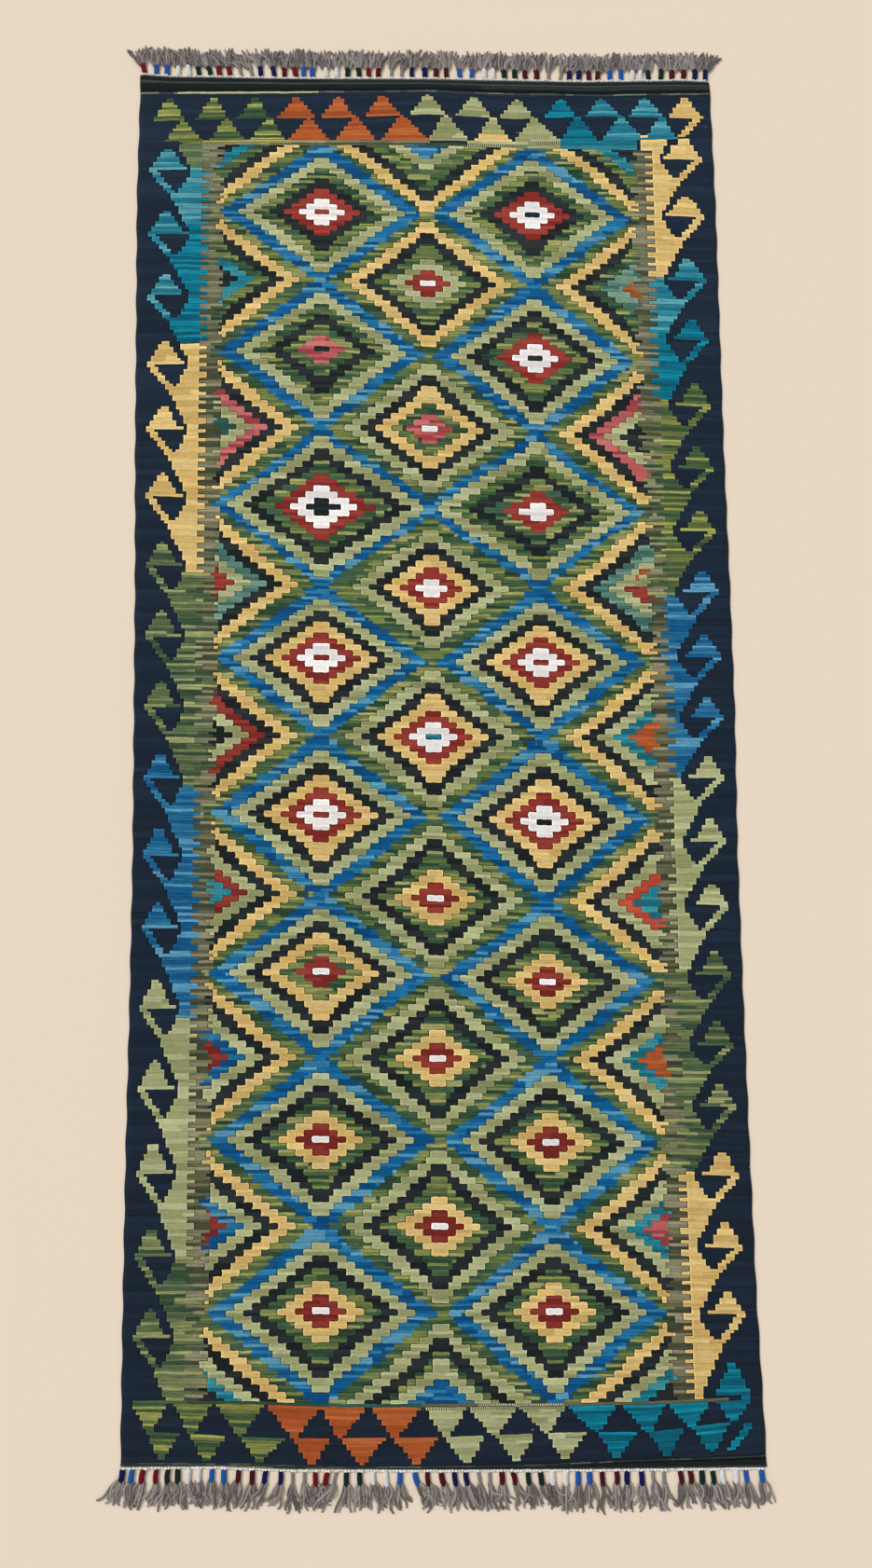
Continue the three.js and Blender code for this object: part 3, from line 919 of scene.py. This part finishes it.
# r red, m maroon, b blue, n navy, g green, w white, - no coloured thread
farTassels = readTassels("""
    -436 r -24, -418 b -15, -402 b -10, -385 w -10, -367 w -15, -352 g -20, -335 g -25, -319.5 r -25, -304 r -20,
    -286 - -35, -269.5 - -38, -257.5 n -15, -237 n -10, -221 m 0, -203 r -10, -191 b -8, -177 b -10, -156 w -8,
    -140.5 w 0, -124 g 0, -106 g 0, -90 r -2, -75 m 0, -56 - 15, -40 - 22, -23 n 5, -4 n 10, 13 m 2, 31 m -8,
    52 b 0, 70 b 5, 88 w 5, 103 w 3, 120 g 5, 137 g 5, 154 m 0, 170 m 2, 188 - 15, 207 - 15, 221 n 5, 236 n 8,
    252 m 0, 266 m 8, 285.5 b 3, 303 b 0, 319 w 5, 334 w -5, 347 g 0, 364.5 g 5, 383 m 10, 400 m 5, 418 n 0,
    435 n 15
""")
nearTassels = readTassels("""
    -421 n -35, -408 b -15, -393 r -20, -376 r -15, -361 g -10, -349 g -8, -335 w 0, -321 w 0, -304.5 b -2,
    -289 b 0, -270 m -15, -252 m -15, -234 n -35, -215 n -15, -200 - 0, -184 - 3, -170 r 0, -154 r -20, -142 - -30,
    -129 g -10, -112 g 10, -95 w 10, -78 w 3, -59 b 5, -40 b 40, -23 m 25, -5 m 30, 12 n 20, 27 n 15, 43 - 15,
    58 - 12, 74 m 0, 88 m 35, 109 g 20, 124.5 g 25, 140 w 10, 159 w 0, 174.5 b -5, 189.5 b 0, 206 m 15, 225 m 5,
    240 n 0, 258 n 5, 274 - 3, 288 - 8, 309 m 15, 322 m 30, 338 g 15, 352 g 5, 365 w 15, 382 w 8, 396 b 12,
    417.6 b 15
""")
tassel = {  # mm and degrees
    "threads": {"r": (116, 14, 26), "m": (80, 10, 20), "b": (30, 92, 176), "n": (12, 18, 80), "g": (10, 42, 33),
                "w": (240, 238, 234), "-": (132, 126, 122)},
    "strandShades": [(143, 134, 131), (124, 116, 113), (158, 150, 146), (106, 99, 97)],
    "start": 3.0,                        # beyond the cloth's edge
    "wrapLength": 17.0,
    "wrapDepth": 2.1,
    "bare": (0.62, 0.8),                 # width and depth of a tassel without coloured thread, against the others
    "strandRadius": 1.3,
    "lift": 2.6,
    # halfWidth is of the wrap, curl is how far the tip of a strand bends aside, sway is how far the strand snakes
    "far": {"halfWidth": 4.0, "strands": (11, 13), "length": (27, 36), "fan": 20, "curl": 9, "sway": 2.6},
    "near": {"halfWidth": 3.6, "strands": (6, 8), "length": (27, 38), "fan": 14, "curl": 10, "sway": 3.4},
}


def yarnMaterial(name, twist, pitch, depth, shadeDepth):
    # thread wound round a tassel, or a plied strand: ridges that run round it and, with twist, along it
    material, tree = newMaterial(name)
    plus, _, times, _ = sumsIn(tree)
    uv = addNode(tree, "ShaderNodeUVMap", uv_map="thread").outputs[0]
    place = addNode(tree, "ShaderNodeTexCoord").outputs["Object"]
    around, lengthwise = addNode(tree, "ShaderNodeSeparateXYZ", {0: uv}).outputs[:2]
    ridge = curve(tree, "SINE", times(plus(times(around, twist), times(lengthwise, 1 / pitch)), 2 * math.pi))
    dyed = tinted(tree, attributeOf(tree, "dye")["Color"], plus(1 - shadeDepth, times(ridge, shadeDepth)))
    hairs = fibreOn(tree, place, dyed, 0.14, 0.1)
    finishMaterial(tree, hairs, plus(times(ridge, 0.5), times(hairs["Height"], 0.4)), depth, 0.8)
    return material


cotton = cottonMaterial()
wrapThread = yarnMaterial("wrapThread", twist=1, pitch=0.95, depth=0.0004, shadeDepth=0.12)
pliedWool = yarnMaterial("pliedWool", twist=2, pitch=3.0, depth=0.0002, shadeDepth=0.05)
wrapTube, strandTube, cordTube = tubeTemplate(10, 8), tubeTemplate(6, 12), tubeTemplate(6, 90)


def threadMesh():
    bm = bmesh.new()
    bm.loops.layers.uv.new("thread")
    bm.faces.layers.float_color.new("dye")
    return bm


def makeKnots(end, tasselPlaces, seed):
    pick = random.Random(seed)
    first, last = knots["ends"][end]
    bm = threadMesh()

    def cordPath(t):
        x = first + t * (last - first)
        return edgePoint(end, x, knots["offset"] + 0.25 * math.sin(x * 0.7)) + Vector((0, 0, 1.5))

    def cordRadius(t):
        return knots["cordRadius"]

    addTube(bm, cordTube, cordPath, cordRadius, cordRadius, knots["cordShade"], lengthScale=last - first)
    x = first
    while x <= last:
        near = min(abs(x - at) for at in tasselPlaces)
        size = (1.08 if near < 4 else 0.84) * pick.uniform(0.86, 1.14)    # a knot that holds a tassel is bigger
        spot = edgePoint(end, x, knots["offset"] + pick.uniform(-0.35, 0.45)) + Vector((0, 0, 1.95 * size + 0.12))
        turn = Matrix.Rotation(pick.uniform(-0.5, 0.5), 4, "Z")
        shape = Matrix.Diagonal((*[s * size * mm for s in knots["size"]], 1))
        made = bmesh.ops.create_uvsphere(bm, u_segments=8, v_segments=5, radius=1.0,
                                         matrix=Matrix.Translation(spot * mm) @ turn @ shape)["verts"]
        for face in {f for v in made for f in v.link_faces}:
            face.smooth = True
        x += knots["pitch"] * pick.uniform(0.82, 1.18)
    return finishPiece(bm, end + "Knots", [cotton], end + "_knot_row")


def makeTassels(end, places, seed):
    pick = random.Random(seed)
    side = 1 if end == "far" else -1
    own = tassel[end]
    bm = threadMesh()
    for at, thread, lean in places:
        root = edgePoint(end, at, tassel["start"])
        wrapLean = math.radians(0.35 * lean + pick.uniform(-5, 5))
        length = tassel["wrapLength"] * pick.uniform(0.92, 1.08)
        bend = pick.uniform(-1.2, 1.2)
        out = Vector((math.sin(wrapLean), side * math.cos(wrapLean), 0))
        beside = Vector((out.y, -out.x, 0))
        slimmer, flatter = tassel["bare"] if thread == "-" else (1, 1)
        halfWidth = own["halfWidth"] * pick.uniform(0.9, 1.1) * slimmer
        depth = tassel["wrapDepth"] * flatter

        def wrapPath(t):
            return root + out * (length * t) + beside * (bend * 4 * t * (1 - t)) + Vector((0, 0, depth + 0.15))

        def swell(t):
            return 0.8 + 0.2 * min(1, 6 * t, 6 * (1 - t))

        addTube(bm, wrapTube, wrapPath, lambda t: halfWidth * swell(t), lambda t: depth * swell(t),
                tassel["threads"][thread], int(thread == "-"), length)
        tip = wrapPath(1.0)
        count = pick.randint(*own["strands"])
        sweep = pick.uniform(-1, 1) * own["curl"]
        for i in range(count):
            share = i / (count - 1) * 2 - 1
            angle = math.radians(lean + own["fan"] * share + pick.uniform(-4, 4))
            strandLength = pick.uniform(*own["length"])
            curl = sweep * pick.uniform(0.5, 1.2) + pick.uniform(-0.35, 0.35) * own["curl"] + 2 * share
            sway = pick.uniform(-1, 1) * own["sway"]
            start = tip - out * 2.5 + beside * (share * side * halfWidth * 0.9)
            lift = pick.uniform(0, tassel["lift"])
            go = Vector((math.sin(angle), side * math.cos(angle), 0))
            over = Vector((go.y, -go.x, 0)) * side
            radius = tassel["strandRadius"] * pick.uniform(0.85, 1.1)

            def strandPath(t):
                low = radius + 0.1
                z = low + (start.z - low) * (1 - t) ** 2 + lift * math.sin(math.pi * min(1, t * 1.15))
                flat = start + go * (strandLength * t * (1 - 0.12 * t * abs(curl) / 9)) + over * (curl * t * t)
                flat += over * (sway * math.sin(t * 2 * math.pi)) + out * (strandLength * 0.25 * t * (1 - t))
                return Vector((flat.x, flat.y, z))

            def taper(t):
                return radius * (1 - 0.15 * t ** 8)

            addTube(bm, strandTube, strandPath, taper, taper, pick.choice(tassel["strandShades"]), 1, strandLength)
    return finishPiece(bm, end + "Tassels", [wrapThread, pliedWool], end + "_fringe")


farKnots = makeKnots("far", [t[0] for t in farTassels], 11)
nearKnots = makeKnots("near", [t[0] for t in nearTassels], 12)
farFringe = makeTassels("far", farTassels, 21)
nearFringe = makeTassels("near", nearTassels, 22)
print("ends finished:", len(farFringe.data.polygons) + len(nearFringe.data.polygons), "faces of fringe")

# floor, light and camera
studio = {
    "floorShade": (233, 216, 195), "floorSize": 14.0,
    "sky": 0.55, "key": 2.0, "softness": 24,    # softness in degrees
    "tilt": (-28, -38),                         # degrees, towards the near end and towards the right
}


def makeFloor():
    bm = bmesh.new()
    bmesh.ops.create_grid(bm, x_segments=1, y_segments=1, size=studio["floorSize"])
    bmesh.ops.translate(bm, verts=bm.verts, vec=(0, 0, -0.0004))
    material, tree = newMaterial("plainFloor")
    shader = addNode(tree, "ShaderNodeBsdfPrincipled", {
        "Base Color": (*linear(studio["floorShade"]), 1), "Roughness": 0.75, "Specular IOR Level": 0.2})
    addNode(tree, "ShaderNodeOutputMaterial", {"Surface": shader.outputs[0]})
    addObject("floor", meshOf(bm, "floor"), material)


def makeSky():
    # soft light from all round, and the camera sees the floor's own colour beyond the floor
    world = bpy.data.worlds.new("studio")
    scene.world = world
    world.use_nodes = True
    tree = world.node_tree
    sky = tree.nodes["Background"]
    sky.inputs["Color"].default_value = (1, 1, 1, 1)
    sky.inputs["Strength"].default_value = studio["sky"]
    backdrop = addNode(tree, "ShaderNodeBackground", {"Color": (*linear(studio["floorShade"]), 1)})
    cameraRay = addNode(tree, "ShaderNodeLightPath").outputs["Is Camera Ray"]
    seen = addNode(tree, "ShaderNodeMixShader", {0: cameraRay, 1: sky.outputs[0], 2: backdrop.outputs[0]})
    tree.links.new(seen.outputs[0], tree.nodes["World Output"].inputs["Surface"])


makeFloor()
makeSky()
key = addObject("key", bpy.data.lights.new("key", "SUN"))
key.data.energy = studio["key"]
key.data.angle = math.radians(studio["softness"])
key.rotation_euler = (math.radians(studio["tilt"][0]), math.radians(studio["tilt"][1]), 0)

camera = addObject("camera", bpy.data.cameras.new("camera"))
camera.location = (-0.04034, -0.31827, 1.59484)
camera.rotation_euler = [math.radians(a) for a in (7.8485, -1.4099, -0.7355)]
camera.data.lens = 25.983
camera.data.sensor_width = 36
camera.data.clip_start = 0.01
scene.camera = camera
